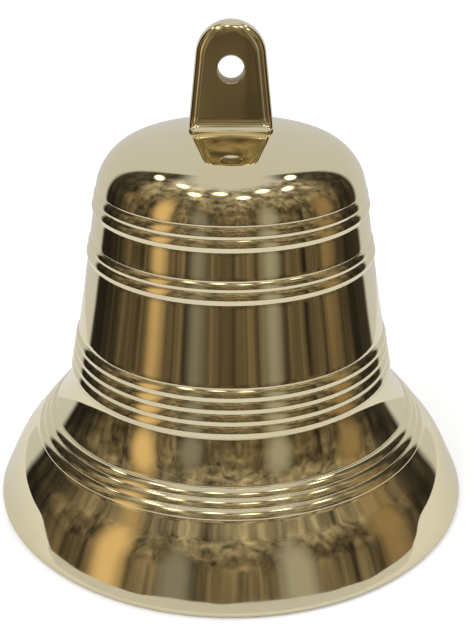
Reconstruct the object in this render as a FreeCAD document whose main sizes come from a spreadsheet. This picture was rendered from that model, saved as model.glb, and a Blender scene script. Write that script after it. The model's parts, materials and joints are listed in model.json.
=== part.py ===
import FreeCAD, Part
import Sketcher
import math
import os
from types import SimpleNamespace

# A cast brass church bell that hangs from a flat, pierced lug, with the clapper
# and all its hardware inside.  Millimetres.  +Z is up along the bell's axis, the
# mouth rests on z = 0 and the lug's hole runs along Y.  A "lean" is the angle, in
# degrees, by which a wall leans inwards from the vertical as it rises.

SIZES = {
    # shell, outside, from the rim upwards
    "mouth_radius": 152.5,
    "rim_round": 3.0,
    "rim_lean": 25.0,
    "lip_middle_height": 24.0,
    "lip_middle_lean": 25.5,
    "lip_top_height": 40.0,
    "flare_lean": 41.0,
    "flare_band_height": 47.4,
    "waist_foot_height": 86.1,
    "waist_foot_lean": 10.8,
    "lower_band_height": 161.8,
    "waist_lean": 9.0,
    "upper_band_height": 190.7,
    "shoulder_radius": 34.0,
    "dome_radius": 236.0,
    "crown_height": 239.0,
    # raised beads that make up the four bands
    "flare_bead": 6.0,
    "flare_bead_rise": 0.45,
    "flare_bead_slope": 0.7,
    "flare_bead_swell": 13.0,
    "waist_bead": 7.05,
    "waist_bead_rise": 1.1,
    "pair_foot_bead": 7.1,
    "pair_foot_rise": 1.2,
    "lower_top_bead": 5.5,
    "upper_top_bead": 6.9,
    "pair_top_rise": 0.8,
    "bead_slope": 2.3,
    "quirk_width": 0.8,
    "quirk_depth": 0.5,
    # shell, inside
    "rim_inner_radius": 143.5,
    "rim_inner_lean": 46.0,
    "bow_height": 15.0,
    "bow_lean": 23.0,
    "bow_top_height": 34.0,
    "inner_flare_lean": 38.0,
    "inner_flare_height": 47.0,
    "inner_foot_height": 83.0,
    "inner_waist_height": 197.0,
    "inner_shoulder_radius": 26.0,
    "crown_thickness": 9.5,
    "seat_height": 229.6,
    "seat_radius": 21.0,
    "crown_hole_radius": 6.25,
    # hanging lug
    "lug_thickness": 15.0,
    "lug_top_radius": 20.5,
    "lug_top_centre": 280.2,
    "lug_side_lean": 6.2,
    "lug_foot_height": 234.0,
    "lug_flare_radius": 8.0,
    "lug_flare_start": 246.5,
    "lug_foot_depth": 24.6,
    "lug_edge_round": 6.2,
    "lug_bore_radius": 7.75,
    "lug_bore_height": 273.7,
    "lug_bore_chamfer": 0.9,
    "lug_thread_top": 257.5,
    # crown hardware
    "stud_radius": 6.0,
    "stud_top": 256.5,
    "seal_radius": 19.0,
    "seal_thickness": 2.0,
    "plate_radius": 17.0,
    "plate_thickness": 2.5,
    "nut_flats": 19.0,
    "nut_thickness": 10.0,
    "locknut_thickness": 6.0,
    # clapper staple
    "pivot_height": 184.0,
    "fork_top": 206.0,
    "fork_width": 24.0,
    "fork_depth": 26.0,
    "fork_slot": 12.0,
    "fork_slot_top": 198.5,
    "fork_edge_round": 1.5,
    # pivot pin and what is on it
    "pin_radius": 4.0,
    "pin_clearance": 0.05,
    "washer_clearance": 0.2,
    "pin_head_radius": 6.5,
    "pin_head_thickness": 3.0,
    "pin_end": 20.5,
    "pin_washer_radius": 8.0,
    "pin_washer_thickness": 1.6,
    "split_pin_reach": 15.9,
    "split_wire_radius": 1.1,
    "split_pin_leg": 6.5,
    "split_eye_radius": 2.6,
    "split_leg_angle": 32.0,
    "thrust_washer_radius": 9.0,
    "thrust_washer_thickness": 1.0,
    "side_play": 0.1,
    # clapper
    "eye_radius": 11.0,
    "bush_outer_radius": 5.5,
    "rod_neck_radius": 4.8,
    "rod_foot_radius": 6.6,
    "rod_foot_height": 57.0,
    "collar_radius": 8.2,
    "collar_thickness": 3.0,
    "ball_radius": 18.0,
    "ball_height": 33.0,
    "ball_flat": 16.0,
    "tail_radius": 5.0,
    "tail_end": 6.0,
    "ball_washer_radius": 8.5,
    "ball_washer_thickness": 1.5,
    "tail_nut_flats": 16.0,
    "tail_nut_thickness": 7.5,
    # shared
    "edge_break": 0.5,
}

X_AXIS = FreeCAD.Vector(1, 0, 0)
Y_AXIS = FreeCAD.Vector(0, 1, 0)
Z_AXIS = FreeCAD.Vector(0, 0, 1)
NEGLIGIBLE = 1e-9
SAME_PLACE = 0.01               # mm, how closely an edge is recognised by where it lies
HEXAGON_SIDES = 6
CENTRE = 3
V_AXIS = -2
H_AXIS = -1


class Size:
    """A length or angle: its present value, and the sheet expression that gives it."""

    def __init__(self, value, text):
        self.value = value
        self.text = text

    def __add__(self, other):
        other = as_size(other)
        return Size(self.value + other.value, f"({self.text} + {other.text})")

    def __sub__(self, other):
        other = as_size(other)
        return Size(self.value - other.value, f"({self.text} - {other.text})")

    def __mul__(self, other):
        other = as_size(other)
        return Size(self.value * other.value, f"({self.text} * {other.text})")

    def __truediv__(self, other):
        other = as_size(other)
        return Size(self.value / other.value, f"({self.text} / {other.text})")

    def __neg__(self):
        return Size(-self.value, f"(0 - {self.text})")


def as_size(number):
    """Let plain numbers stand beside sizes in a formula."""
    return number if isinstance(number, Size) else Size(number, str(number))


def sine(angle):
    return Size(math.sin(math.radians(angle.value)), f"sin({angle.text})")


def cosine(angle):
    return Size(math.cos(math.radians(angle.value)), f"cos({angle.text})")


def tangent(angle):
    return Size(math.tan(math.radians(angle.value)), f"tan({angle.text})")


def root(square):
    return Size(math.sqrt(square.value), f"sqrt({square.text})")


doc = FreeCAD.newDocument("church_bell")
sheet = doc.addObject("Spreadsheet::Sheet", "dims")
for row, (alias, number) in enumerate(SIZES.items(), start=1):
    sheet.set(f"A{row}", str(number))
    sheet.setAlias(f"A{row}", alias)
doc.recompute()
dim = SimpleNamespace(**{alias: Size(number, f"dims.{alias}") for alias, number in SIZES.items()})


# ---- small helpers ---------------------------------------------------------------


def new_body(name):
    body = doc.addObject("PartDesign::Body", name)
    body.Label = name
    return body


def new_sketch(body, name, plane="XZ_Plane"):
    origin_plane = [item for item in body.Origin.OriginFeatures if item.Role == plane][0]
    sketch = body.newObject("Sketcher::SketchObject", name)
    sketch.AttachmentSupport = [(origin_plane, "")]
    sketch.MapMode = "FlatFace"
    return sketch


def primitive(body, kind, name, height, turn=None, **sizes):
    """A cylinder, cone, torus or other solid added to or cut from a body.

    height places it along Z; turn, an axis and an angle, swings it from +Z."""
    feature = body.newObject(f"PartDesign::{kind}", name)
    if turn:
        feature.Placement = FreeCAD.Placement(FreeCAD.Vector(), FreeCAD.Rotation(*turn))
    feature.setExpression("Placement.Base.z", as_size(height).text)
    for key, size in sizes.items():
        feature.setExpression(key, as_size(size).text)
    doc.recompute()
    return feature


def cross_cylinder(body, kind, name, height, radius, start, length):
    """A cylinder that lies along +Y, from y = start."""
    feature = primitive(body, kind, name, height, turn=(X_AXIS, -90), Radius=radius, Height=length)
    feature.setExpression("Placement.Base.y", as_size(start).text)
    doc.recompute()
    return feature


def washer(name, bottom, radius, hole_radius, thickness):
    """A flat ring lying across the bell's axis."""
    body = new_body(name)
    primitive(body, "AdditiveCylinder", f"{name}_disc", bottom, Radius=radius, Height=thickness)
    primitive(body, "SubtractiveCylinder", f"{name}_hole", bottom, Radius=hole_radius, Height=thickness)
    return body


def pin_washer(name, start, radius, thickness):
    """A flat ring lying across the pivot pin, from y = start."""
    body = new_body(name)
    hole_radius = dim.pin_radius + dim.washer_clearance
    cross_cylinder(body, "AdditiveCylinder", f"{name}_disc", dim.pivot_height, radius, start, thickness)
    cross_cylinder(body, "SubtractiveCylinder", f"{name}_hole", dim.pivot_height, hole_radius, start,
                   thickness)
    return body


def revolve(body, sketch, name, kind="Revolution"):
    """Turn a sketch once round the bell's axis, adding or cutting."""
    feature = body.newObject(f"PartDesign::{kind}", name)
    feature.Profile = sketch
    feature.ReferenceAxis = (sketch, ["V_Axis"])
    feature.Angle = 360
    sketch.Visibility = False
    doc.recompute()
    return feature


def pad(body, sketch, name, length, kind="Pad"):
    """Push a sketch out, or cut it away, equally to both sides of its plane."""
    feature = body.newObject(f"PartDesign::{kind}", name)
    feature.Profile = sketch
    feature.setExpression("Length", as_size(length).text)
    feature.SideType = "Symmetric"
    sketch.Visibility = False
    doc.recompute()
    return feature


def dress(body, kind, name, edges, property_name, size):
    """Round or chamfer the chosen edges of the body's newest feature."""
    base = body.Tip
    feature = body.newObject(f"PartDesign::{kind}", name)
    feature.Base = (base, edges)
    feature.setExpression(property_name, as_size(size).text)
    doc.recompute()
    return feature


def mirror_across(body, feature, name, plane):
    """Repeat a feature on the other side of one of the body's own planes."""
    mirrored = body.newObject("PartDesign::Mirrored", name)
    mirrored.Originals = [feature]
    mirrored.MirrorPlane = ([item for item in body.Origin.OriginFeatures if item.Role == plane][0], [""])
    body.Tip = mirrored
    doc.recompute()
    return mirrored


def circle_of(edge, radius):
    """Whether an edge is a circle of a given radius."""
    return edge.Curve.TypeId == "Part::GeomCircle" and abs(edge.Curve.Radius - radius.value) < SAME_PLACE


def at_height(edge, height):
    return abs(edge.CenterOfMass.z - height.value) < SAME_PLACE


def edge_names(body, wanted):
    """Names of the edges of the newest feature for which wanted(edge) holds."""
    edges = body.Tip.Shape.Edges
    return [f"Edge{number}" for number, edge in enumerate(edges, start=1) if wanted(edge)]


class Outline:
    """A closed sketch drawn as a chain of lines and arcs, each one bound to the sheet."""

    def __init__(self, body, name, across, up, plane="XZ_Plane"):
        self.sketch = new_sketch(body, name, plane)
        self.point = FreeCAD.Vector(across.value, up.value, 0)
        self.start = (across, up)
        self.height = up
        self.tail = None
        self.head = None

    def hold(self, kind, *where, size):
        """Add one dimension and bind it to its expression."""
        number = self.sketch.addConstraint(Sketcher.Constraint(kind, *where, size.value))
        self.sketch.setExpression(f"Constraints[{number}]", size.text)

    def join(self, curve, first, last, meeting="Coincident"):
        """Add a curve whose end `first` meets the chain so far, at a corner or as a tangent."""
        number = self.sketch.addGeometry(curve, False)
        if self.tail is None:
            self.head = (number, first)
            self.hold_point(number, first, *self.start)
        else:
            self.sketch.addConstraint(Sketcher.Constraint(meeting, *self.tail, number, first))
        self.tail = (number, last)
        return number

    def hold_point(self, number, end, across, up):
        """Fix a point's place from the axis and from z = 0."""
        for kind, axis, size in (("DistanceX", V_AXIS, across), ("DistanceY", H_AXIS, up)):
            if size.value == 0:
                self.sketch.addConstraint(Sketcher.Constraint("PointOnObject", number, end, axis))
            else:
                self.hold(kind, -1, 1, number, end, size=size)

    def hold_step(self, number, first, last, run, rise):
        """Fix how far a curve's last end lies across from, and above, its first."""
        for kind, level, size in (("DistanceX", "Vertical", run), ("DistanceY", "Horizontal", rise)):
            if abs(size.value) < NEGLIGIBLE:
                self.sketch.addConstraint(Sketcher.Constraint(level, number, first, number, last))
            elif size.value > 0:
                self.hold(kind, number, first, number, last, size=size)
            else:
                self.hold(kind, number, last, number, first, size=-size)

    def line(self, run, rise):
        run, rise = as_size(run), as_size(rise)
        end = self.point + FreeCAD.Vector(run.value, rise.value, 0)
        number = self.join(Part.LineSegment(self.point, end), 1, 2)
        self.hold_step(number, 1, 2, run, rise)
        self.point = end

    def arc(self, run, rise, radius, bulge):
        """An arc to a point; bulge +1 swells to the right of travel and -1 to the left."""
        run, rise = as_size(run), as_size(rise)
        end = self.point + FreeCAD.Vector(run.value, rise.value, 0)
        chord = end - self.point
        left = FreeCAD.Vector(-chord.y, chord.x, 0).normalize()
        offset = math.sqrt(max(radius.value**2 - (chord.Length / 2)**2, 0))
        number, first, last = self.draw_arc((self.point + end) * 0.5 + left * offset * bulge, end, bulge)
        self.hold_step(number, first, last, run, rise)
        self.hold("Radius", number, size=radius)

    def draw_arc(self, centre, end, bulge, meeting="Coincident"):
        """Draw an arc about a centre.  Sketch arcs run anticlockwise, as one that swells right does."""
        first, last = (1, 2) if bulge > 0 else (2, 1)
        low, high = (self.point, end) if bulge > 0 else (end, self.point)
        low_angle = math.atan2(low.y - centre.y, low.x - centre.x)
        high_angle = math.atan2(high.y - centre.y, high.x - centre.x)
        if high_angle < low_angle:
            high_angle += 2 * math.pi
        circle = Part.Circle(centre, Z_AXIS, (end - centre).Length)
        number = self.join(Part.ArcOfCircle(circle, low_angle, high_angle), first, last, meeting)
        self.point = end
        return number, first, last

    def wall(self, top, lean, top_lean):
        """A wall rising to a height while its lean turns into another, tangent at both ends."""
        rise = top - self.height
        run = -(rise * tangent((lean + top_lean) / 2))
        turn = sine(top_lean) - sine(lean)
        if abs(turn.value) < NEGLIGIBLE:
            self.line(run, rise)
        elif turn.value > 0:
            self.arc(run, rise, rise / turn, 1)
        else:
            self.arc(run, rise, -(rise / turn), -1)
        self.height = top

    def up_wall(self, along, out, lean):
        """The run and rise of a step along a leaning wall and out from it."""
        run = out * cosine(lean) - along * sine(lean)
        rise = along * cosine(lean) + out * sine(lean)
        return run, rise

    def band(self, beads, lean, slope, swell):
        """Raised beads, lowest first, with a fine quirk above the last.

        A bead is its width and how far its crest stands out.  Its flat underside faces
        down, and its crown leaves the crest at the swell's angle and falls back to the wall."""
        length = dim.quirk_width
        for number, (width, crest) in enumerate(beads, start=1):
            underside = crest * slope
            crown = width - underside
            drop = crest + dim.quirk_depth if number == len(beads) else crest
            self.line(*self.up_wall(underside, crest, lean))
            chord_squared = crown * crown + drop * drop
            bulge_radius = chord_squared / ((crown * sine(swell) + drop * cosine(swell)) * 2)
            self.arc(*self.up_wall(crown, -drop, lean), bulge_radius, 1)
            length = length + width
        self.line(*self.up_wall(dim.quirk_width, dim.quirk_depth, lean))
        self.height = self.height + length * cosine(lean)

    def dome(self, shoulder_radius, dome_radius, crown_height):
        """The shoulder's arc, then the crown's arc, which is centred on the axis."""
        crown_centre = FreeCAD.Vector(0, crown_height.value - dome_radius.value, 0)
        reach = dome_radius.value - shoulder_radius.value
        between = self.point - crown_centre
        along = (reach**2 - shoulder_radius.value**2 + between.Length**2) / (2 * between.Length)
        ahead = between / between.Length
        aside = FreeCAD.Vector(-ahead.y, ahead.x, 0)
        shoulder_centre = crown_centre + ahead * along + aside * math.sqrt(reach**2 - along**2)
        outward = (shoulder_centre - crown_centre) / reach
        meeting = crown_centre + outward * dome_radius.value
        apex = FreeCAD.Vector(0, crown_height.value, 0)
        shoulder, _, _ = self.draw_arc(shoulder_centre, meeting, 1)
        crown, _, crown_end = self.draw_arc(crown_centre, apex, 1, "Tangent")
        self.hold("Radius", shoulder, size=shoulder_radius)
        self.hold("Radius", crown, size=dome_radius)
        self.sketch.addConstraint(Sketcher.Constraint("PointOnObject", crown, CENTRE, V_AXIS))
        self.hold_point(crown, crown_end, as_size(0), crown_height)

    def half_turn(self, run):
        """A half circle straight across, tangent to the line before it, swelling right."""
        end = self.point + FreeCAD.Vector(run.value, 0, 0)
        number, first, last = self.draw_arc((self.point + end) * 0.5, end, 1, "Tangent")
        self.hold_step(number, first, last, run, as_size(0))

    def close(self):
        """Draw the last line back to the start."""
        start = FreeCAD.Vector(self.start[0].value, self.start[1].value, 0)
        number = self.join(Part.LineSegment(self.point, start), 1, 2)
        self.sketch.addConstraint(Sketcher.Constraint("Coincident", number, 2, *self.head))
        doc.recompute()
        return self.sketch


# ---- the bell and its lug --------------------------------------------------------


def make_shell():
    body = new_body("bell_shell")
    outside = Outline(body, "shell_outside", dim.mouth_radius - dim.rim_round, as_size(0))
    outside.wall(dim.rim_round * (sine(dim.rim_lean) + 1), as_size(-90), dim.rim_lean)
    outside.wall(dim.lip_middle_height, dim.rim_lean, dim.lip_middle_lean)
    outside.wall(dim.lip_top_height, dim.lip_middle_lean, dim.flare_lean)
    outside.wall(dim.flare_band_height, dim.flare_lean, dim.flare_lean)
    outside.band([(dim.flare_bead, dim.flare_bead_rise)] * 3, dim.flare_lean,
                 dim.flare_bead_slope, dim.flare_bead_swell)
    outside.wall(dim.waist_foot_height, dim.flare_lean, dim.waist_foot_lean)
    plain = dim.bead_slope, as_size(0)
    outside.band([(dim.waist_bead, dim.waist_bead_rise)] * 4, dim.waist_foot_lean, *plain)
    outside.wall(dim.lower_band_height, dim.waist_foot_lean, dim.waist_lean)
    foot_bead = dim.pair_foot_bead, dim.pair_foot_rise
    outside.band([foot_bead, (dim.lower_top_bead, dim.pair_top_rise)], dim.waist_lean, *plain)
    outside.wall(dim.upper_band_height, dim.waist_lean, dim.waist_lean)
    outside.band([foot_bead, (dim.upper_top_bead, dim.pair_top_rise)], dim.waist_lean, *plain)
    outside.dome(dim.shoulder_radius, dim.dome_radius, dim.crown_height)
    outside.line(0, -dim.crown_height)
    revolve(body, outside.close(), "shell_casting")

    inside = Outline(body, "shell_inside", dim.rim_inner_radius, as_size(0))
    inside.wall(dim.bow_height, dim.rim_inner_lean, dim.bow_lean)
    inside.wall(dim.bow_top_height, dim.bow_lean, dim.inner_flare_lean)
    inside.wall(dim.inner_flare_height, dim.inner_flare_lean, dim.inner_flare_lean)
    inside.wall(dim.inner_foot_height, dim.inner_flare_lean, dim.waist_foot_lean)
    inside.wall(dim.inner_waist_height, dim.waist_foot_lean, dim.waist_lean)
    inner_crown = dim.crown_height - dim.crown_thickness
    inside.dome(dim.inner_shoulder_radius, dim.dome_radius - dim.crown_thickness, inner_crown)
    inside.line(0, -inner_crown)
    revolve(body, inside.close(), "shell_hollow", "Groove")

    seat_depth = dim.seat_height - dim.inner_waist_height
    primitive(body, "SubtractiveCylinder", "crown_seat", dim.inner_waist_height,
              Radius=dim.seat_radius, Height=seat_depth)
    primitive(body, "SubtractiveCylinder", "crown_hole", dim.inner_waist_height,
              Radius=dim.crown_hole_radius, Height=dim.crown_height - dim.inner_waist_height)
    return body


def lug_half_width(height):
    """Half the lug's width across its straight, leaning sides."""
    spring = dim.lug_top_centre + dim.lug_top_radius * sine(dim.lug_side_lean)
    return dim.lug_top_radius * cosine(dim.lug_side_lean) + (spring - height) * tangent(dim.lug_side_lean)


def make_lug():
    body = new_body("crown_lug")
    lean = dim.lug_side_lean
    spring = dim.lug_top_centre + dim.lug_top_radius * sine(lean)
    side_rise = spring - dim.lug_foot_height
    front = Outline(body, "lug_front", lug_half_width(dim.lug_foot_height), dim.lug_foot_height)
    front.line(-(side_rise * tangent(lean)), side_rise)
    front.arc(-(dim.lug_top_radius * cosine(lean) * 2), 0, dim.lug_top_radius, 1)
    front.line(-(side_rise * tangent(lean)), -side_rise)
    pad(body, front.close(), "lug_blank", dim.lug_foot_depth)

    half = dim.lug_thickness / 2
    lug_top = dim.lug_top_centre + dim.lug_top_radius
    clear = lug_top + half
    side = Outline(body, "lug_side", half, clear, "YZ_Plane")
    side.line(0, dim.lug_flare_start - clear)
    flare_run = dim.lug_foot_depth / 2 - half
    short_side = dim.lug_flare_radius - flare_run
    flare_drop = root(dim.lug_flare_radius * dim.lug_flare_radius - short_side * short_side)
    side.arc(flare_run, -flare_drop, dim.lug_flare_radius, 1)
    side.line(half, 0)
    side.line(0, clear - dim.lug_flare_start + flare_drop)
    cheek = pad(body, side.close(), "lug_cheek", dim.lug_foot_depth * 3, "Pocket")
    mirror_across(body, cheek, "lug_cheeks", "XZ_Plane")

    def on_rim(edge):
        """Edges where the front and back faces meet the lug's sides and arched top."""
        middle = edge.valueAt((edge.FirstParameter + edge.LastParameter) / 2)
        above = middle.z - dim.lug_top_centre.value
        on_arch = abs(math.hypot(middle.x, above) - dim.lug_top_radius.value) < SAME_PLACE
        on_side = abs(abs(middle.x) - lug_half_width(as_size(middle.z)).value) < SAME_PLACE
        return abs(middle.y) > half.value - SAME_PLACE and (on_arch or on_side)

    dress(body, "Fillet", "lug_edges", edge_names(body, on_rim), "Radius", dim.lug_edge_round)
    primitive(body, "SubtractiveSphere", "lug_seat", dim.crown_height - dim.dome_radius,
              Radius=dim.dome_radius)
    primitive(body, "SubtractiveCylinder", "lug_thread", dim.seat_height,
              Radius=dim.stud_radius, Height=dim.lug_thread_top - dim.seat_height)
    cross_cylinder(body, "SubtractiveCylinder", "lug_bore", dim.lug_bore_height,
                   dim.lug_bore_radius, -dim.lug_thickness, dim.lug_thickness * 2)
    mouths = edge_names(body, lambda edge: circle_of(edge, dim.lug_bore_radius))
    dress(body, "Chamfer", "lug_bore_mouths", mouths, "Size", dim.lug_bore_chamfer)
    return body


# ---- what holds the clapper ------------------------------------------------------


def make_staple():
    """The threaded stud that screws up into the lug, with the fork at its foot."""
    body = new_body("clapper_staple")
    cheek = Outline(body, "fork_front", dim.fork_width / 2, dim.fork_top)
    cheek.line(-dim.fork_width, 0)
    cheek.line(0, dim.pivot_height - dim.fork_top)
    cheek.half_turn(dim.fork_width)
    pad(body, cheek.close(), "fork_blank", dim.fork_depth)
    face = dim.fork_depth.value / 2
    on_face = edge_names(body, lambda edge: abs(abs(edge.CenterOfMass.y) - face) < SAME_PLACE)
    dress(body, "Fillet", "fork_edges", on_face, "Radius", dim.fork_edge_round)

    gap = dim.fork_slot / 2
    below = dim.pivot_height - dim.fork_width
    slot = Outline(body, "fork_side", gap, below, "YZ_Plane")
    slot.line(0, dim.fork_slot_top - gap - below)
    slot.half_turn(-dim.fork_slot)
    slot.line(0, below + gap - dim.fork_slot_top)
    pad(body, slot.close(), "fork_slot", dim.fork_width * 2, "Pocket")
    cross_cylinder(body, "SubtractiveCylinder", "fork_eyes", dim.pivot_height,
                   dim.pin_radius + dim.pin_clearance, -dim.fork_depth, dim.fork_depth * 2)

    primitive(body, "AdditiveCylinder", "stud", dim.fork_top,
              Radius=dim.stud_radius, Height=dim.stud_top - dim.fork_top)
    tip = edge_names(body, lambda edge: circle_of(edge, dim.stud_radius) and at_height(edge, dim.stud_top))
    dress(body, "Chamfer", "stud_tip", tip, "Size", dim.edge_break)
    return body


def make_nut(name, bottom, flats, bore_radius, thickness):
    """A hexagonal nut with both faces bevelled at the corners."""
    body = new_body(name)
    corner_radius = flats / math.sqrt(3)
    hexagon = primitive(body, "AdditivePrism", f"{name}_hexagon", bottom,
                        Circumradius=corner_radius, Height=thickness)
    hexagon.Polygon = HEXAGON_SIDES
    margin = corner_radius - flats / 2 + dim.edge_break
    for side, level, slope in (("top", bottom + thickness, -1), ("bottom", bottom, 1)):
        bevel = Outline(body, f"{name}_{side}_bevel", flats / 2, level)
        bevel.line(margin, 0)
        bevel.line(0, margin * slope / math.sqrt(3))
        revolve(body, bevel.close(), f"{name}_{side}_face", "Groove")
    primitive(body, "SubtractiveCylinder", f"{name}_bore", bottom, Radius=bore_radius, Height=thickness)
    return body


def make_crown_hardware():
    """Seal, plate and two nuts, clamped up against the crown's flat seat."""
    hole_radius = dim.crown_hole_radius
    seal_bottom = dim.seat_height - dim.seal_thickness
    plate_bottom = seal_bottom - dim.plate_thickness
    nut_bottom = plate_bottom - dim.nut_thickness
    locknut_bottom = nut_bottom - dim.locknut_thickness
    return [
        washer("crown_seal", seal_bottom, dim.seal_radius, hole_radius, dim.seal_thickness),
        washer("crown_plate", plate_bottom, dim.plate_radius, hole_radius, dim.plate_thickness),
        make_nut("crown_nut", nut_bottom, dim.nut_flats, dim.stud_radius, dim.nut_thickness),
        make_nut("crown_locknut", locknut_bottom, dim.nut_flats, dim.stud_radius, dim.locknut_thickness),
    ]


def make_pivot_pin():
    body = new_body("pivot_pin")
    cheek_face = dim.fork_depth / 2
    cross_cylinder(body, "AdditiveCylinder", "pin_shank", dim.pivot_height,
                   dim.pin_radius, -cheek_face, cheek_face + dim.pin_end)
    cross_cylinder(body, "AdditiveCylinder", "pin_head", dim.pivot_height,
                   dim.pin_head_radius, -(cheek_face + dim.pin_head_thickness), dim.pin_head_thickness)
    ends = edge_names(body, lambda edge: edge.CenterOfMass.y > dim.pin_end.value - SAME_PLACE
                      or edge.CenterOfMass.y < -(cheek_face + dim.pin_head_thickness).value + SAME_PLACE)
    dress(body, "Chamfer", "pin_ends", ends, "Size", dim.edge_break)
    hole = primitive(body, "SubtractiveCylinder", "pin_hole", dim.pivot_height - dim.pin_head_radius,
                     Radius=dim.split_wire_radius + dim.pin_clearance * 2, Height=dim.pin_head_radius * 2)
    hole.setExpression("Placement.Base.y", dim.split_pin_reach.text)
    doc.recompute()
    return body


def make_split_pin():
    """The split pin's shank and eye, with its two legs bent apart below the pivot pin."""
    body = new_body("split_pin")
    bend = dim.pivot_height - dim.pin_radius - dim.split_wire_radius
    eye_height = dim.pivot_height + dim.pin_radius + dim.split_eye_radius + dim.split_wire_radius
    pieces = [
        primitive(body, "AdditiveCylinder", "split_shank", bend, Radius=dim.split_wire_radius,
                  Height=eye_height - dim.split_eye_radius - bend),
        primitive(body, "AdditiveTorus", "split_eye", eye_height, turn=(X_AXIS, 90),
                  Radius1=dim.split_eye_radius, Radius2=dim.split_wire_radius),
    ]
    for side, direction in (("left", -1), ("right", 1)):
        leg = primitive(body, "AdditiveCylinder", f"split_leg_{side}", bend,
                        turn=(Y_AXIS, 180 + direction * dim.split_leg_angle.value),
                        Radius=dim.split_wire_radius, Height=dim.split_pin_leg)
        pieces.append(leg)
    for piece in pieces:
        piece.setExpression("Placement.Base.y", dim.split_pin_reach.text)
    doc.recompute()
    return body


def make_pin_washers():
    """The washer behind the split pin, and a thrust washer on each side of the clapper's eye."""
    gap = dim.fork_slot / 2
    return [
        pin_washer("pivot_washer", dim.fork_depth / 2, dim.pin_washer_radius, dim.pin_washer_thickness),
        pin_washer("thrust_washer_front", -gap, dim.thrust_washer_radius, dim.thrust_washer_thickness),
        pin_washer("thrust_washer_back", gap - dim.thrust_washer_thickness,
                   dim.thrust_washer_radius, dim.thrust_washer_thickness),
    ]


# ---- the clapper -----------------------------------------------------------------


def eye_half_thickness():
    """Half the thickness of the clapper's eye, which has a little side play in the fork."""
    return dim.fork_slot / 2 - dim.thrust_washer_thickness - dim.side_play


def make_clapper_rod():
    """Eye, tapered rod, collar above the ball and threaded tail through it, in one forging."""
    body = new_body("clapper_rod")
    ball_top = dim.ball_height + dim.ball_flat
    collar_top = ball_top + dim.collar_thickness
    neck_height = dim.pivot_height - dim.eye_radius + dim.edge_break
    rod = Outline(body, "rod_outline", as_size(0), dim.tail_end)
    rod.line(dim.tail_radius - dim.edge_break, 0)
    rod.line(dim.edge_break, dim.edge_break)
    rod.line(0, ball_top - dim.tail_end - dim.edge_break)
    rod.line(dim.collar_radius - dim.tail_radius, 0)
    rod.line(0, dim.collar_thickness)
    rod.line(dim.rod_foot_radius - dim.collar_radius, dim.rod_foot_height - collar_top)
    rod.line(dim.rod_neck_radius - dim.rod_foot_radius, neck_height - dim.rod_foot_height)
    rod.line(-dim.rod_neck_radius, 0)
    revolve(body, rod.close(), "rod_forging")

    half = eye_half_thickness()
    cross_cylinder(body, "AdditiveCylinder", "rod_eye", dim.pivot_height, dim.eye_radius, -half, half * 2)
    cross_cylinder(body, "SubtractiveCylinder", "rod_eye_hole", dim.pivot_height,
                   dim.bush_outer_radius, -half * 2, half * 4)
    return body


def make_bush():
    body = new_body("clapper_bush")
    half = eye_half_thickness()
    cross_cylinder(body, "AdditiveCylinder", "bush_outside", dim.pivot_height,
                   dim.bush_outer_radius, -half, half * 2)
    cross_cylinder(body, "SubtractiveCylinder", "bush_bore", dim.pivot_height,
                   dim.pin_radius + dim.pin_clearance, -half, half * 2)
    return body


def make_ball():
    body = new_body("clapper_ball")
    flat_radius = root(dim.ball_radius * dim.ball_radius - dim.ball_flat * dim.ball_flat)
    ball = Outline(body, "ball_outline", dim.tail_radius, dim.ball_height - dim.ball_flat)
    ball.line(flat_radius - dim.tail_radius, 0)
    ball.arc(0, dim.ball_flat * 2, dim.ball_radius, 1)
    ball.line(dim.tail_radius - flat_radius, 0)
    revolve(body, ball.close(), "ball_turning")
    return body


def make_tail_hardware():
    """The washer and nut that hold the ball up against the rod's collar."""
    washer_bottom = dim.ball_height - dim.ball_flat - dim.ball_washer_thickness
    return [
        washer("ball_washer", washer_bottom, dim.ball_washer_radius, dim.tail_radius,
               dim.ball_washer_thickness),
        make_nut("ball_nut", washer_bottom - dim.tail_nut_thickness, dim.tail_nut_flats,
                 dim.tail_radius, dim.tail_nut_thickness),
    ]


# ---- build, check and write ------------------------------------------------------

bodies = [make_shell(), make_lug(), make_staple()]
bodies += make_crown_hardware()
bodies += [make_pivot_pin(), make_split_pin()]
bodies += make_pin_washers()
bodies += [make_clapper_rod(), make_bush(), make_ball()]
bodies += make_tail_hardware()
doc.recompute()

for item in doc.Objects:
    if "Invalid" in item.State or "Error" in item.State:
        raise RuntimeError(f"{item.Name} did not build: {item.State}")
for body in bodies:
    if body.Shape.isNull() or not body.Shape.isValid() or len(body.Shape.Solids) != 1:
        raise RuntimeError(f"{body.Label} isn't one valid solid")

os.makedirs("parts", exist_ok=True)
for body in bodies:
    body.Shape.exportStep(os.path.join("parts", f"{body.Label}.step"))
    print(f"{body.Label}: {body.Shape.Volume / 1000:.2f} cm3")
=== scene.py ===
"""The looks of a polished cast bell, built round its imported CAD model.

The shell and the lug, which are mirrors, are drawn again here as smooth meshes from
the same sizes as the CAD.  The other parts keep their CAD shapes."""

import json
import math

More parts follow.
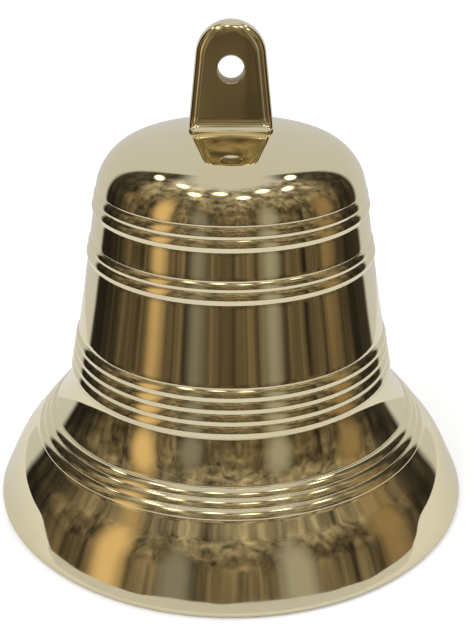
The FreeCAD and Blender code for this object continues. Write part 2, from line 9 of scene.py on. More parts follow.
import bmesh
import bpy
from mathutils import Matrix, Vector

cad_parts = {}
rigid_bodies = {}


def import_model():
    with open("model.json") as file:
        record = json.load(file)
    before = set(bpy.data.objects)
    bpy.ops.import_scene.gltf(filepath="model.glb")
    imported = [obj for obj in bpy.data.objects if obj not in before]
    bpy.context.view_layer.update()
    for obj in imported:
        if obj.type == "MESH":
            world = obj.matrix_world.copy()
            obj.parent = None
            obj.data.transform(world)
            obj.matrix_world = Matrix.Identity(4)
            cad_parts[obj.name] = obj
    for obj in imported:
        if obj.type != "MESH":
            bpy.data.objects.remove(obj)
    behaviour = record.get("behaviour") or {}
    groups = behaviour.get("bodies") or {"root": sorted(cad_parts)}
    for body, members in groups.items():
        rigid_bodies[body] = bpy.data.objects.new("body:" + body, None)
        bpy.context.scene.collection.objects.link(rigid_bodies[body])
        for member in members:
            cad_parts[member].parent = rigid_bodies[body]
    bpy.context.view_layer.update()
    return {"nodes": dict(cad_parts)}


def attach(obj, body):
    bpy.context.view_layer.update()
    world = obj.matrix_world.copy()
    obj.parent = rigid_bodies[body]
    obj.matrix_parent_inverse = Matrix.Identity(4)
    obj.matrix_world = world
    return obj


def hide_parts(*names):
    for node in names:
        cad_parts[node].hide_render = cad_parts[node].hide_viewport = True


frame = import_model()
scene = bpy.context.scene
MM = 0.001

# ---- sizes of the casting, in millimetres and degrees, as the CAD has them -------

MOUTH_RADIUS = 152.5
RIM_ROUND = 3.0
RIM_LEAN = 25.0
LIP_MIDDLE = (24.0, 25.5)      # height, lean of the wall there
LIP_TOP_HEIGHT = 40.0
FLARE_LEAN = 41.0
FLARE_BAND_HEIGHT = 47.4
WAIST_FOOT_HEIGHT = 86.1
WAIST_FOOT_LEAN = 10.8
LOWER_BAND_HEIGHT = 161.8
UPPER_BAND_HEIGHT = 190.7
WAIST_LEAN = 9.0
SHOULDER_RADIUS = 34.0
DOME_RADIUS = 236.0
CROWN_HEIGHT = 239.0

FLARE_BEADS = [(6.0, 0.45)] * 3           # width, how far each crest stands out
WAIST_BEADS = [(7.05, 1.1)] * 4
LOWER_PAIR = [(7.1, 1.2), (5.5, 0.8)]
UPPER_PAIR = [(7.1, 1.2), (6.9, 0.8)]
BEAD_SLOPE = 2.3                         # run along the wall of a bead's underside, over its rise
FLARE_BEAD_SLOPE = 0.7
FLARE_BEAD_SWELL = 13.0
QUIRK_WIDTH = 0.8
QUIRK_DEPTH = 0.5
EDGE_SOFTENING = 0.32                     # how far polishing has eaten each arris

RIM_INNER_RADIUS = 143.5
BOW = (15.0, 46.0, 23.0)                  # top height, lean at the foot, lean at the top
INNER_LIP = (34.0, 38.0)
INNER_FLARE_HEIGHT = 47.0
INNER_FOOT_HEIGHT = 83.0
INNER_WAIST_HEIGHT = 197.0
INNER_SHOULDER_RADIUS = 26.0
CROWN_THICKNESS = 9.5
SEAT_HEIGHT = 229.6
SEAT_RADIUS = 21.0
CROWN_HOLE_RADIUS = 6.25

LUG_THICKNESS = 15.0
LUG_TOP_RADIUS = 20.5
LUG_TOP_CENTRE = 280.2
LUG_LEAN = math.radians(6.2)
LUG_FLARE_RADIUS = 8.0
LUG_FLARE_START = 246.5
LUG_FOOT_DEPTH = 24.6
LUG_EDGE_ROUND = 6.2
BORE_RADIUS = 7.75
BORE_HEIGHT = 273.7
BORE_ROUND = 0.9
THREAD_RADIUS = 6.0
THREAD_TOP = 257.5


# ---- turned outlines -------------------------------------------------------------


def lean_step(base, along, out, lean):
    """The point so far along a leaning wall from a base point, and so far out from it."""
    sine, cosine = math.sin(math.radians(lean)), math.cos(math.radians(lean))
    return base[0] + out * cosine - along * sine, base[1] + along * cosine + out * sine


class Outline:
    """Half of a turned shape, as points of radius and height, with its corners marked."""

    def __init__(self, radius, height):
        self.points = [(radius, height)]
        self.corners = set()

    def corner(self):
        self.corners.add(len(self.points) - 1)

    def line(self, radius, height):
        self.points.append((radius, height))

    def turn(self, centre, radius, start, stop, steps):
        """An arc about a centre, its first point being the one already there."""
        for step in range(1, steps + 1):
            angle = start + (stop - start) * step / steps
            self.line(centre[0] + radius * math.cos(angle), centre[1] + radius * math.sin(angle))

    def wall(self, top, lean, top_lean, steps=16):
        """A wall up to a height while its lean turns smoothly into another."""
        radius, height = self.points[-1]
        start, stop = math.radians(lean), math.radians(top_lean)
        swing = math.sin(stop) - math.sin(start)
        if abs(swing) < 1e-9:
            for step in range(1, steps + 1):
                rise = (top - height) * step / steps
                self.line(radius - rise * math.tan(start), height + rise)
            return
        bend = (top - height) / swing
        centre = radius - bend * math.cos(start), height - bend * math.sin(start)
        self.turn(centre, bend, start, stop, steps)

    def band(self, beads, lean, slope=BEAD_SLOPE, swell=0.0):
        """Raised beads, lowest first, then a fine quirk above the last.

        A bead's crown leaves its crest at the swell's angle to the wall, outwards."""
        steps = 9
        outward = math.radians(swell)
        for number, (width, crest) in enumerate(beads, start=1):
            base = self.points[-1]
            self.corner()
            underside = crest * slope
            crown = width - underside
            drop = crest + QUIRK_DEPTH if number == len(beads) else crest
            chord = math.hypot(crown, drop)
            half_sweep = outward + math.atan2(drop, crown)
            bulge = chord / (2 * math.sin(half_sweep))
            self.line(*lean_step(base, underside, crest, lean))
            self.corner()
            for step in range(1, steps + 1):
                angle = 2 * half_sweep * step / steps - outward
                along = underside + bulge * (math.sin(angle) + math.sin(outward))
                out = crest - bulge * (math.cos(outward) - math.cos(angle))
                self.line(*lean_step(base, along, out, lean))
        self.corner()
        self.line(*lean_step(self.points[-1], QUIRK_WIDTH, QUIRK_DEPTH, lean))
        self.corner()

    def dome(self, shoulder_radius, dome_radius, crown_height, hole_radius):
        """The shoulder's arc, then the crown's arc as far in as its hole."""
        start = Vector(self.points[-1])
        crown = Vector((0, crown_height - dome_radius))
        reach = dome_radius - shoulder_radius
        between = start - crown
        along = (reach**2 - shoulder_radius**2 + between.length**2) / (2 * between.length)
        ahead = between.normalized()
        aside = Vector((-ahead.y, ahead.x))
        shoulder = crown + ahead * along + aside * math.sqrt(reach**2 - along**2)
        arm = start - shoulder
        meeting = math.atan2(shoulder.y - crown.y, shoulder.x - crown.x)
        self.turn(shoulder, shoulder_radius, math.atan2(arm.y, arm.x), meeting, 24)
        self.turn(crown, dome_radius, meeting, math.acos(hole_radius / dome_radius), 30)

    def softened(self, cut):
        """The points with each marked corner swept round instead of sharp."""
        result = []
        last = len(self.points) - 1
        for number, point in enumerate(self.points):
            here = Vector(point)
            if number not in self.corners or number in (0, last):
                result.append(here)
                continue
            before = Vector(self.points[number - 1])
            after = Vector(self.points[number + 1])
            reach = min(cut, (here - before).length * 0.45, (after - here).length * 0.45)
            first = here + (before - here).normalized() * reach
            second = here + (after - here).normalized() * reach
            for share in (0, 0.25, 0.5, 0.75, 1):
                curve = first.lerp(here, share).lerp(here.lerp(second, share), share)
                result.append(curve)
        return result


def turned_mesh(name, points, segments=256, split=None):
    """A closed shape of revolution about Z, from a closed outline that keeps off the axis.

    Its normals come from the outline, so that a mirror finish shows no facets.  Faces
    from the outline's point number `split` on take the second material."""
    count = len(points)
    normals = []
    for number, here in enumerate(points):
        before, after = here - points[number - 1], points[(number + 1) % count] - here
        slope = before.normalized() * after.length + after.normalized() * before.length
        slope.normalize()
        normals.append((slope.y, -slope.x))
    vertices, vertex_normals = [], []
    for segment in range(segments):
        angle = 2 * math.pi * segment / segments
        sine, cosine = math.sin(angle), math.cos(angle)
        for (radius, height), (out, up) in zip(points, normals):
            vertices.append((radius * sine * MM, -radius * cosine * MM, height * MM))
            vertex_normals.append((out * sine, -out * cosine, up))
    faces = []
    for segment in range(segments):
        near, far = segment * count, (segment + 1) % segments * count
        for number in range(count):
            following = (number + 1) % count
            faces.append((near + number, far + number, far + following, near + following))
    mesh = bpy.data.meshes.new(name)
    mesh.from_pydata(vertices, [], faces)
    for face in mesh.polygons:
        face.use_smooth = True
        if split is not None and face.index % count >= split:
            face.material_index = 1
    mesh.normals_split_custom_set_from_vertices(vertex_normals)
    return mesh


def show(name, mesh, *materials):
    piece = bpy.data.objects.new(name, mesh)
    scene.collection.objects.link(piece)
    for material in materials:
        piece.data.materials.append(material)
    return piece


# ---- materials -------------------------------------------------------------------


class Tree:
    """A node tree with short ways to add nodes; an input may be a value or a socket."""

    def __init__(self, owner):
        owner.use_nodes = True
        self.nodes = owner.node_tree.nodes
        self.links = owner.node_tree.links
        self.nodes.clear()

    def add(self, kind, inputs=None, **settings):
        node = self.nodes.new(kind)
        for key, value in settings.items():
            setattr(node, key, value)
        for key, value in (inputs or {}).items():
            if isinstance(value, bpy.types.NodeSocket):
                self.links.new(value, node.inputs[key])
            else:
                node.inputs[key].default_value = value
        return node

    def maths(self, operation, first, second=0.0, third=0.0):
        inputs = {0: first, 1: second, 2: third}
        return self.add("ShaderNodeMath", inputs, operation=operation).outputs[0]

    def noise(self, vector, scale, detail=4.0, roughness=0.55, distortion=0.0):
        inputs = {"Vector": vector, "Scale": scale, "Detail": detail, "Roughness": roughness,
                  "Distortion": distortion}
        return self.add("ShaderNodeTexNoise", inputs).outputs["Fac"]

    def spread(self, value, low, high, to_low=0.0, to_high=1.0, smooth=False):
        inputs = {"Value": value, "From Min": low, "From Max": high,
                  "To Min": to_low, "To Max": to_high}
        kind = "SMOOTHSTEP" if smooth else "LINEAR"
        return self.add("ShaderNodeMapRange", inputs, interpolation_type=kind).outputs[0]

    def mix(self, factor, first, second, blend="MIX"):
        inputs = {0: factor, 6: first, 7: second}
        return self.add("ShaderNodeMix", inputs, data_type="RGBA", blend_type=blend).outputs[2]

    def ramp(self, value, stops):
        node = self.add("ShaderNodeValToRGB", {"Fac": value})
        elements = node.color_ramp.elements
        while len(elements) < len(stops):
            elements.new(1.0)
        for element, (position, colour) in zip(elements, stops):
            element.position = position
            element.color = colour
        return node.outputs["Color"]

    def bump(self, height, strength, distance, under=None):
        inputs = {"Height": height, "Strength": strength, "Distance": distance}
        if under is not None:
            inputs["Normal"] = under
        return self.add("ShaderNodeBump", inputs).outputs["Normal"]


def rgb(red, green, blue):
    return red, green, blue, 1.0


def finish_surface(tree, **inputs):
    """Close a tree with a Principled shader; underscores in names stand for spaces."""
    named = {key.replace("_", " "): value for key, value in inputs.items()}
    shader = tree.add("ShaderNodeBsdfPrincipled", named)
    output = tree.add("ShaderNodeOutputMaterial")
    tree.links.new(shader.outputs[0], output.inputs[0])


def new_material(name):
    material = bpy.data.materials.new(name)
    return material, Tree(material)


def object_place(tree):
    return tree.add("ShaderNodeTexCoord").outputs["Object"]


def ring_place(tree, place):
    """Distance from Z and height only, so that a texture on it runs round the axis."""
    split = tree.add("ShaderNodeSeparateXYZ", {0: place})
    reach = tree.maths("SQRT", tree.maths(
        "ADD", tree.maths("POWER", split.outputs[0], 2.0), tree.maths("POWER", split.outputs[1], 2.0)))
    return tree.add("ShaderNodeCombineXYZ", {0: reach, 2: split.outputs[2]}).outputs[0]


def stretched(tree, place, across, along):
    """Coordinates drawn out along Z, for marks that run up and down."""
    inputs = {"Vector": place, "Scale": (across, across, along)}
    return tree.add("ShaderNodeMapping", inputs).outputs[0]


def polished_brass(name, turned):
    """Mirror-bright yellow brass with the fine lines and soft ripples that buffing leaves."""
    material, tree = new_material(name)
    place = object_place(tree)
    lines = ring_place(tree, place) if turned else stretched(tree, place, 1.0, 0.12)
    tarnish = tree.spread(tree.noise(place, 11.0, 5.0, 0.6, 0.4), 0.5, 0.72, smooth=True)
    tone = tree.spread(tree.noise(place, 4.5, 3.0), 0.3, 0.7)
    clean = tree.mix(tone, rgb(0.87, 0.775, 0.515), rgb(0.9, 0.81, 0.56))
    colour = tree.mix(tree.maths("MULTIPLY", tarnish, 0.4), clean, rgb(0.85, 0.7, 0.37))
    hairlines = tree.noise(lines, 2600.0, 2.0, 0.5)
    ripple = tree.noise(lines, 95.0, 1.0, 0.4)
    sway = tree.noise(place, 38.0, 1.0, 0.4)
    smudge = tree.spread(tree.noise(place, 26.0, 6.0, 0.65, 0.6), 0.42, 0.75)
    gloss = tree.maths("MULTIPLY_ADD", smudge, 0.035, 0.012)
    gloss = tree.maths("MULTIPLY_ADD", hairlines, 0.02, gloss)
    gloss = tree.maths("MULTIPLY_ADD", tarnish, 0.04, gloss)
    relief = tree.bump(sway, 0.5, 0.00015)
    relief = tree.bump(ripple, 0.5, 0.000035, relief)
    relief = tree.bump(hairlines, 0.3, 0.0000006, relief)
    finish_surface(tree, Base_Color=colour, Metallic=1.0, Roughness=gloss, Normal=relief)
    return material


def cast_brass(name):
    """Brass as it left the sand mould, dulled and browned by air."""
    material, tree = new_material(name)
    place = object_place(tree)
    grain = tree.noise(place, 900.0, 5.0, 0.7)
    pits = tree.noise(place, 230.0, 3.0, 0.6)
    stain = tree.spread(tree.noise(place, 16.0, 6.0, 0.65, 0.8), 0.35, 0.7)
    turned = tree.noise(ring_place(tree, place), 420.0, 3.0, 0.6)
    colour = tree.mix(stain, rgb(0.58, 0.43, 0.2), rgb(0.34, 0.24, 0.12))
    colour = tree.mix(tree.maths("MULTIPLY", grain, 0.35), colour, rgb(0.75, 0.6, 0.32))
    gloss = tree.spread(grain, 0.2, 0.8, 0.34, 0.56)
    relief = tree.bump(pits, 0.5, 0.0004)
    relief = tree.bump(turned, 0.4, 0.00012, relief)
    relief = tree.bump(grain, 0.6, 0.00014, relief)
    finish_surface(tree, Base_Color=colour, Metallic=1.0, Roughness=gloss, Normal=relief)
    return material


def plain_metal(name, light, dark, gloss, line_scale, turned=True):
    """A machined metal: two tones in soft patches, turning or drawing lines, and wear."""
    material, tree = new_material(name)
    place = object_place(tree)
    lines_place = ring_place(tree, place) if turned else stretched(tree, place, 1.0, 0.06)
    patches = tree.spread(tree.noise(place, 90.0, 5.0, 0.65, 0.5), 0.35, 0.68)
    lines = tree.noise(lines_place, line_scale, 3.0, 0.6)
    fine = tree.noise(place, 2200.0, 2.0)
    colour = tree.mix(patches, light, dark)
    colour = tree.mix(tree.maths("MULTIPLY", lines, 0.25), colour, dark)
    roughness = tree.maths("MULTIPLY_ADD", patches, 0.14, gloss)
    roughness = tree.maths("MULTIPLY_ADD", fine, 0.08, roughness)
    relief = tree.bump(lines, 0.4, 0.00003)
    relief = tree.bump(fine, 0.25, 0.00002, relief)
    finish_surface(tree, Base_Color=colour, Metallic=1.0, Roughness=roughness, Normal=relief)
    return material


def forged_steel(name):
    """Black forge scale with hammer dents, rubbed brighter on its high spots."""
    material, tree = new_material(name)
    place = object_place(tree)
    dents = tree.noise(place, 130.0, 2.0, 0.4)
    scale = tree.noise(place, 700.0, 6.0, 0.7)
    rubbed = tree.spread(tree.maths("MULTIPLY_ADD", scale, 0.35, dents), 0.66, 0.86, smooth=True)
    colour = tree.mix(tree.spread(scale, 0.3, 0.7), rgb(0.055, 0.05, 0.048), rgb(0.13, 0.105, 0.09))
    colour = tree.mix(rubbed, colour, rgb(0.42, 0.4, 0.38))
    gloss = tree.maths("MULTIPLY_ADD", rubbed, -0.2, 0.56)
    relief = tree.bump(dents, 0.6, 0.0009)
    relief = tree.bump(scale, 0.4, 0.0001, relief)
    finish_surface(tree, Base_Color=colour, Metallic=0.85, Roughness=gloss, Normal=relief)
    return material


def leather(name):
    """Tan leather with a pebbled grain and darker patches at random."""
    material, tree = new_material(name)
    place = object_place(tree)
    cells = tree.add("ShaderNodeTexVoronoi", {"Vector": place, "Scale": 900.0}).outputs["Distance"]
    stain = tree.spread(tree.noise(place, 120.0, 5.0, 0.6), 0.35, 0.7)
    colour = tree.mix(stain, rgb(0.22, 0.1, 0.042), rgb(0.1, 0.045, 0.022))
    colour = tree.mix(tree.maths("MULTIPLY", cells, 0.5), colour, rgb(0.3, 0.16, 0.08))
    gloss = tree.spread(cells, 0.0, 0.6, 0.62, 0.46)
    relief = tree.bump(cells, 0.5, 0.0003)
    finish_surface(tree, Base_Color=colour, Roughness=gloss, Normal=relief)
    return material


# ---- the casting -----------------------------------------------------------------


def make_shell():
    outline = Outline(MOUTH_RADIUS - RIM_ROUND, 0)
    rim_top = RIM_ROUND * (1 + math.sin(math.radians(RIM_LEAN)))
    outline.wall(rim_top, -90, RIM_LEAN, 14)
    outline.wall(LIP_MIDDLE[0], RIM_LEAN, LIP_MIDDLE[1], 10)
    outline.wall(LIP_TOP_HEIGHT, LIP_MIDDLE[1], FLARE_LEAN, 20)
    outline.wall(FLARE_BAND_HEIGHT, FLARE_LEAN, FLARE_LEAN, 4)
    outline.band(FLARE_BEADS, FLARE_LEAN, FLARE_BEAD_SLOPE, FLARE_BEAD_SWELL)
    outline.wall(WAIST_FOOT_HEIGHT, FLARE_LEAN, WAIST_FOOT_LEAN, 24)
    outline.band(WAIST_BEADS, WAIST_FOOT_LEAN)
    outline.wall(LOWER_BAND_HEIGHT, WAIST_FOOT_LEAN, WAIST_LEAN, 16)
    outline.band(LOWER_PAIR, WAIST_LEAN)
    outline.wall(UPPER_BAND_HEIGHT, WAIST_LEAN, WAIST_LEAN, 6)
    outline.band(UPPER_PAIR, WAIST_LEAN)
    outline.dome(SHOULDER_RADIUS, DOME_RADIUS, CROWN_HEIGHT, CROWN_HOLE_RADIUS)
    outside = outline.softened(EDGE_SOFTENING)

    outline = Outline(RIM_INNER_RADIUS, 0)
    bow_top, bow_foot_lean, bow_top_lean = BOW
    outline.wall(bow_top, bow_foot_lean, bow_top_lean, 12)
    outline.wall(INNER_LIP[0], bow_top_lean, INNER_LIP[1], 12)
    outline.wall(INNER_FLARE_HEIGHT, INNER_LIP[1], INNER_LIP[1], 2)
    outline.wall(INNER_FOOT_HEIGHT, INNER_LIP[1], WAIST_FOOT_LEAN, 14)
    outline.wall(INNER_WAIST_HEIGHT, WAIST_FOOT_LEAN, WAIST_LEAN, 12)
    inner_crown = CROWN_HEIGHT - CROWN_THICKNESS
    outline.dome(INNER_SHOULDER_RADIUS, DOME_RADIUS - CROWN_THICKNESS, inner_crown, SEAT_RADIUS)
    outline.line(SEAT_RADIUS, SEAT_HEIGHT)
    outline.line(CROWN_HOLE_RADIUS, SEAT_HEIGHT)
    inside = outline.softened(EDGE_SOFTENING)

    loop = outside + inside[::-1]
    mesh = turned_mesh("shell", loop, 256, split=len(outside) - 1)
    shell = show("shell", mesh, polished_brass("shell_polish", True), cast_brass("shell_cast"))
    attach(shell, "bell")
    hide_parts("bell_shell")


def lug_half_depth(height):
    """Half the lug's thickness, which flares out towards its foot."""
    half = LUG_THICKNESS / 2
    drop = min(LUG_FLARE_START - height, LUG_FLARE_RADIUS)
    if drop <= 0:
        return half
    flare = LUG_FLARE_RADIUS - math.sqrt(LUG_FLARE_RADIUS**2 - drop**2)
    return min(half + flare, LUG_FOOT_DEPTH / 2)


def lug_outline():
    """Half of the lug's front outline from foot to apex: place and outward normal."""
    spring = LUG_TOP_CENTRE + LUG_TOP_RADIUS * math.sin(LUG_LEAN)
    foot = CROWN_HEIGHT - 1.6
    spring_half = LUG_TOP_RADIUS * math.cos(LUG_LEAN)
    side = []
    heights = [foot + (LUG_FLARE_START - foot) * step / 20 for step in range(20)]
    heights += [LUG_FLARE_START + (spring - LUG_FLARE_START) * step / 14 for step in range(14)]
    for height in heights:
        half = spring_half + (spring - height) * math.tan(LUG_LEAN)
        side.append((half, height, math.cos(LUG_LEAN), math.sin(LUG_LEAN)))
    steps = 32
    for step in range(steps + 1):
        angle = LUG_LEAN + (math.pi / 2 - LUG_LEAN) * step / steps
        across, up = math.cos(angle), math.sin(angle)
        side.append((LUG_TOP_RADIUS * across, LUG_TOP_CENTRE + LUG_TOP_RADIUS * up, across, up))
    return side


def lug_section(half, height, across, up):
    """Points from the front face's middle, round the lug's edge, to the back face's middle."""
    depth = lug_half_depth(height)
    inset = LUG_EDGE_ROUND
    flat = [(half - inset * across) * step / 12 for step in range(12)]
    inset_height = height - inset * up
    front = [(reach, -depth, inset_height) for reach in flat]
    for step in range(11):
        angle = math.pi / 2 * step / 10
        slide = inset * (1 - math.sin(angle))
        place = half - slide * across, -(depth - inset + inset * math.cos(angle)), height - slide * up
        front.append(place)
    side = [(half, (depth - inset) * share, height) for share in (-0.5, 0, 0.5)]
    back = [(reach, -level, rise) for reach, level, rise in reversed(front)]
    return front + side + back


def make_lug_blank():
    """The lug before drilling, from half sections mirrored across its middle."""
    form = bmesh.new()
    sections = [lug_section(*place) for place in lug_outline()]
    dome_centre = CROWN_HEIGHT - DOME_RADIUS
    rings = []
    for level, section in enumerate(sections):
        ring = []
        for side in (1, -1):
            for across, depth, height in section if side == 1 else reversed(section):
                if level == 0:
                    height = dome_centre + math.sqrt(DOME_RADIUS**2 - across**2 - depth**2)
                ring.append(form.verts.new((side * across * MM, depth * MM, height * MM)))
        rings.append(ring)
    for low, high in zip(rings, rings[1:]):
        for number in range(len(low)):
            after = (number + 1) % len(low)
            form.faces.new((low[number], low[after], high[after], high[number]))
    half = len(sections[0])
    for ring, turned in ((rings[0], True), (rings[-1], False)):
        for number in range(half - 1):
            corners = [ring[number], ring[number + 1],
                       ring[2 * half - 2 - number], ring[2 * half - 1 - number]]
            form.faces.new(corners[::-1] if turned else corners)
    bmesh.ops.remove_doubles(form, verts=form.verts, dist=0.01 * MM)
    bmesh.ops.dissolve_degenerate(form, edges=form.edges, dist=0.005 * MM)
    bmesh.ops.recalc_face_normals(form, faces=form.faces)
    mesh = bpy.data.meshes.new("lug_blank")
    form.to_mesh(mesh)
    form.free()
    return mesh


def drill(name, outline, segments, across):
    """A cutter turned about Z from radius and height, laid along Y if `across`."""
    form = bmesh.new()
    rings = []
    for radius, height in outline:
        ring = []
        for segment in range(segments):
            angle = 2 * math.pi * segment / segments
            spot = radius * math.cos(angle), radius * math.sin(angle), height
            if across:
                spot = spot[0], spot[2], spot[1] + BORE_HEIGHT
            ring.append(form.verts.new(Vector(spot) * MM))
        rings.append(ring)
    for low, high in zip(rings, rings[1:]):
        for number in range(segments):
            after = (number + 1) % segments
            form.faces.new((low[number], low[after], high[after], high[number]))
    form.faces.new(rings[0])
    form.faces.new(rings[-1])
    bmesh.ops.recalc_face_normals(form, faces=form.faces)
    mesh = bpy.data.meshes.new(name)
    form.to_mesh(mesh)
    form.free()
    return bpy.data.objects.new(name, mesh)


def make_lug():
    drilled = plain_metal("drilled_brass", rgb(0.55, 0.42, 0.2), rgb(0.2, 0.14, 0.06), 0.3, 1500.0, False)
    lug = show("lug", make_lug_blank(), polished_brass("lug_polish", False), drilled)
    face = LUG_THICKNESS / 2
    mouth = []
    for step in range(7):
        angle = math.pi / 2 * step / 6
        mouth.append((BORE_RADIUS + BORE_ROUND * (1 - math.sin(angle)),
                      -face + BORE_ROUND * (1 - math.cos(angle))))
    bore = [(BORE_RADIUS + BORE_ROUND, -face - 2)] + mouth
    bore += [(radius, -level) for radius, level in reversed(bore)]
    thread = [(THREAD_RADIUS, SEAT_HEIGHT), (THREAD_RADIUS, THREAD_TOP)]
    for cutter in (drill("bore_cutter", bore, 128, True), drill("thread_cutter", thread, 48, False)):
        scene.collection.objects.link(cutter)
        cut = lug.modifiers.new(cutter.name, "BOOLEAN")
        cut.operation = "DIFFERENCE"
        cut.solver = "EXACT"
        cut.object = cutter
    bpy.context.view_layer.update()
    view = bpy.context.evaluated_depsgraph_get()
    mesh = bpy.data.meshes.new_from_object(lug.evaluated_get(view))
    lug.modifiers.clear()
    for cutter in [piece for piece in scene.objects if piece.name.endswith("_cutter")]:
        bpy.data.objects.remove(cutter)
    for polygon in mesh.polygons:
        polygon.use_smooth = True
        across, depth, height = polygon.center / MM
        from_bore = math.hypot(across, height - BORE_HEIGHT)
        in_bore = from_bore < BORE_RADIUS + 0.02 and abs(depth) < face
        polygon.material_index = 1 if in_bore else 0
    mesh.set_sharp_from_angle(angle=math.radians(40))
    lug.data = mesh
    lug.modifiers.new("even_shading", "WEIGHTED_NORMAL").keep_sharp = True
    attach(lug, "bell")
    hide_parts("crown_lug")


# ---- the parts that keep their CAD shapes ----------------------------------------


def dress_cad_parts():
    steel = plain_metal("bright_steel", rgb(0.62, 0.61, 0.58), rgb(0.42, 0.4, 0.36), 0.24, 900.0)
    zinc = plain_metal("zinc_plate", rgb(0.68, 0.67, 0.6), rgb(0.5, 0.47, 0.36), 0.26, 500.0, False)
    bronze = plain_metal("bronze", rgb(0.72, 0.47, 0.24), rgb(0.5, 0.3, 0.14), 0.24, 1100.0)
    ball = plain_metal("ball_brass", rgb(0.84, 0.66, 0.34), rgb(0.62, 0.44, 0.2), 0.16, 700.0)
    forged = forged_steel("forged_steel")
    finishes = {
        "clapper_staple": zinc,
        "crown_seal": leather("seal_leather"),
        "crown_plate": zinc,
        "crown_nut": zinc,
        "crown_locknut": zinc,
        "pivot_pin": steel,
        "split_pin": steel,
        "pivot_washer": zinc,
        "thrust_washer_front": bronze,
        "thrust_washer_back": bronze,
        "clapper_rod": forged,
        "clapper_bush": bronze,
        "clapper_ball": ball,
        "ball_washer": zinc,
        "ball_nut": zinc,
    }
    for name, finish in finishes.items():
        for slot in frame["nodes"][name].material_slots:
            slot.material = finish


# ---- the studio ------------------------------------------------------------------


def grey(level):
    return rgb(level, level, level)


def make_world():
    """Plain white to the camera and the lamps.

    Mirrors see a pale backdrop behind the bell and a dim room hung with folded cloth in
    front of it, darker at both sides, where two black flags give the metal its dark edges."""
    world = bpy.data.worlds.new("studio")
    scene.world = world
    tree = Tree(world)
    direction = tree.add("ShaderNodeTexCoord").outputs["Generated"]
    across, ahead, up = tree.add("ShaderNodeSeparateXYZ", {0: direction}).outputs
    bearing = tree.maths("ARCTAN2", across, tree.maths("MULTIPLY", ahead, -1.0))
    sideways = tree.maths("ABSOLUTE", bearing)
    rise = tree.spread(tree.maths("ARCSINE", up), -math.pi / 2, math.pi / 2)
    room = tree.ramp(rise, [(0.0, rgb(0.05, 0.038, 0.025)), (0.45, rgb(0.09, 0.068, 0.04)),
                            (0.62, rgb(0.16, 0.125, 0.075)), (0.78, rgb(0.34, 0.29, 0.2)),
                            (1.0, grey(0.5))])
    folds = tree.noise(stretched(tree, direction, 11.0, 1.6), 1.0, 3.0, 0.55, 0.4)
    patches = tree.noise(direction, 4.0, 2.0, 0.5)
    depth = tree.maths("MULTIPLY", tree.spread(folds, 0.32, 0.68, 0.3, 1.7),
                       tree.spread(patches, 0.35, 0.65, 0.6, 1.4))
    shade = tree.add("ShaderNodeCombineColor", {0: depth, 1: depth, 2: depth}).outputs[0]
    room = tree.mix(1.0, room, shade, "MULTIPLY")
    flag = tree.spread(sideways, math.radians(88), math.radians(110), smooth=True)
    room = tree.mix(tree.maths("MULTIPLY", flag, 0.8), room, grey(0.012))
    backdrop = tree.spread(sideways, math.radians(122), math.radians(128), smooth=True)
    high = tree.spread(rise, 0.84, 0.92, smooth=True)
    backdrop = tree.maths("MAXIMUM", backdrop, high)
    seen = tree.mix(backdrop, room, grey(0.62))

    path = tree.add("ShaderNodeLightPath")
    plain = tree.add("ShaderNodeBackground", {"Color": grey(1.0), "Strength": 0.95})
    mirrored = tree.add("ShaderNodeBackground", {"Color": seen, "Strength": 1.0})
    both = tree.add("ShaderNodeMixShader", {0: path.outputs["Is Glossy Ray"], 1: plain.outputs[0],
                                            2: mirrored.outputs[0]})
    output = tree.add("ShaderNodeOutputWorld")
    tree.links.new(both.outputs[0], output.inputs[0])


def flat_sheet(name, corners, material):
    """A stage sheet through corners given in metres."""
    mesh = bpy.data.meshes.new(name)
    mesh.from_pydata(corners, [], [tuple(range(len(corners)))])
    sheet = show(name, mesh, material)
    return sheet


def only_in_mirrors(sheet):
    sheet.visible_camera = False
    sheet.visible_diffuse = False
    sheet.visible_shadow = False


def make_floor():
    """A pale floor, which mirrors see only as a round table with a low card at its front."""
    material, tree = new_material("pale_floor")
    mottle = tree.noise(object_place(tree), 3.0, 4.0)
    path = tree.add("ShaderNodeLightPath")
    colour = tree.mix(mottle, grey(0.78), grey(0.82))
    colour = tree.mix(path.outputs["Is Glossy Ray"], colour, grey(0.62))
    diffuse = tree.add("ShaderNodeBsdfDiffuse", {"Color": colour})
    glow = tree.add("ShaderNodeEmission", {"Color": grey(1.0), "Strength": 0.2})
    lifted = tree.add("ShaderNodeAddShader", {0: diffuse.outputs[0], 1: glow.outputs[0]})
    both = tree.add("ShaderNodeMixShader", {0: path.outputs["Is Camera Ray"], 1: diffuse.outputs[0],
                                            2: lifted.outputs[0]})
    output = tree.add("ShaderNodeOutputMaterial")
    tree.links.new(both.outputs[0], output.inputs[0])

    table_radius, ends, drop, segments = 0.42, 6.0, 0.0002, 96
    ring = []
    for segment in range(segments):
        angle = 2 * math.pi * segment / segments
        ring.append((table_radius * math.cos(angle), table_radius * math.sin(angle), 0))
    only_in_mirrors(flat_sheet("table", ring, material))
    corners = [(-ends, -ends, -drop), (ends, -ends, -drop), (ends, ends, -drop), (-ends, ends, -drop)]
    floor = flat_sheet("floor", corners, material)
    floor.visible_glossy = False
    make_front_card(material)


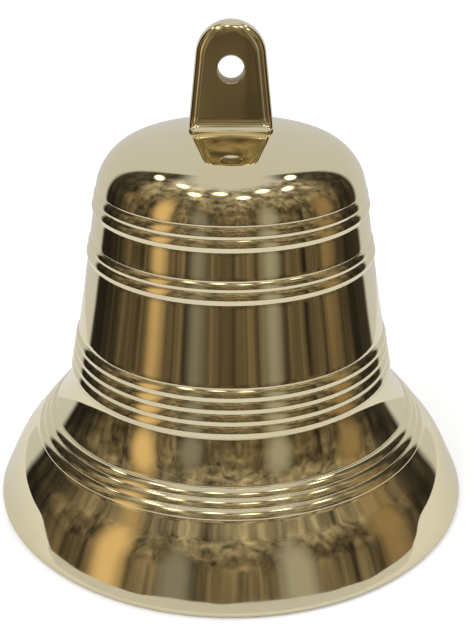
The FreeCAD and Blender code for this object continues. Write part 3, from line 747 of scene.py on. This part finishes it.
def make_front_card(material):
    """A low pale card curved round the bell's front, tapering to nothing at both ends."""
    radius, height, half_turn, steps = 0.36, 0.05, 75, 40
    foot, top = [], []
    for step in range(steps + 1):
        share = 2 * step / steps - 1
        angle = math.radians(half_turn * share)
        spot = radius * math.sin(angle), -radius * math.cos(angle)
        foot.append((*spot, 0))
        top.append((*spot, height * math.cos(math.pi / 2 * share)))
    faces = [(step, step + 1, steps + 2 + step, steps + 1 + step) for step in range(steps)]
    mesh = bpy.data.meshes.new("front_card")
    mesh.from_pydata(foot + top, [], faces)
    card = show("front_card", mesh, material)
    only_in_mirrors(card)


def make_soft_box(name, bearing, elevation, width, height, power, tint):
    """A soft-edged panel facing the bell, all its places and sizes in degrees seen from it."""
    away = 2.5
    material, tree = new_material(name)
    reach = tree.add("ShaderNodeVectorMath", {0: object_place(tree)}, operation="LENGTH").outputs["Value"]
    fade = tree.spread(reach, 0.5, 0.1, smooth=True)
    glow = tree.add("ShaderNodeEmission", {"Color": tint, "Strength": power})
    clear = tree.add("ShaderNodeBsdfTransparent")
    panel = tree.add("ShaderNodeMixShader", {0: fade, 1: clear.outputs[0], 2: glow.outputs[0]})
    output = tree.add("ShaderNodeOutputMaterial")
    tree.links.new(panel.outputs[0], output.inputs[0])

    corners = [(-0.5, -0.5, 0), (0.5, -0.5, 0), (0.5, 0.5, 0), (-0.5, 0.5, 0)]
    box = flat_sheet(name, corners, material)
    turn, rise = math.radians(bearing), math.radians(elevation)
    aim = Vector((math.sin(turn) * math.cos(rise), -math.cos(turn) * math.cos(rise), math.sin(rise)))
    box.location = aim * away
    box.rotation_euler = aim.to_track_quat("Z", "Y").to_euler()
    box.scale = (2 * away * math.tan(math.radians(width / 2)),
                 2 * away * math.tan(math.radians(height / 2)), 1)
    only_in_mirrors(box)


def make_soft_boxes():
    """Three upright strips round the camera and a row of panels overhead."""
    warm, pale = rgb(1.0, 0.7, 0.34), rgb(1.0, 0.93, 0.74)
    make_soft_box("left_strip", -57, 14, 24, 70, 0.75, warm)
    make_soft_box("middle_strip", -25, 10, 22, 60, 0.24, pale)
    make_soft_box("right_strip", 30, 12, 24, 64, 0.38, pale)
    make_soft_box("far_right_strip", 80, 12, 26, 60, 0.3, warm)
    for number, bearing in enumerate((-105, -70, -42, -14, 14, 42, 70, 105)):
        make_soft_box(f"overhead_panel_{number}", bearing, 55 + number % 2 * 7, 12, 8, 4.0, pale)


def make_lamp(name, place, size, power):
    lamp = bpy.data.objects.new(name, bpy.data.lights.new(name, "AREA"))
    lamp.data.shape = "DISK"
    lamp.data.size = size
    lamp.data.energy = power
    lamp.location = place
    lamp.rotation_euler = (Vector((0, 0, 0.1)) - Vector(place)).to_track_quat("-Z", "Y").to_euler()
    lamp.visible_glossy = False
    lamp.visible_camera = False
    scene.collection.objects.link(lamp)


def make_camera():
    camera = bpy.data.objects.new("camera", bpy.data.cameras.new("camera"))
    camera.location = (0, -0.628, 0.401)
    camera.rotation_euler = (math.radians(90 - 24.64), 0, 0)
    camera.data.lens = 60.8
    camera.data.shift_x = 0.0094
    camera.data.clip_start = 0.01
    scene.collection.objects.link(camera)
    scene.camera = camera


make_shell()
make_lug()
dress_cad_parts()
make_world()
make_floor()
make_soft_boxes()
make_lamp("key", (-1.2, -0.9, 1.8), 1.4, 16.0)
make_lamp("fill", (1.4, 0.6, 1.6), 1.6, 8.0)
make_camera()
scene.view_settings.view_transform = "Standard"
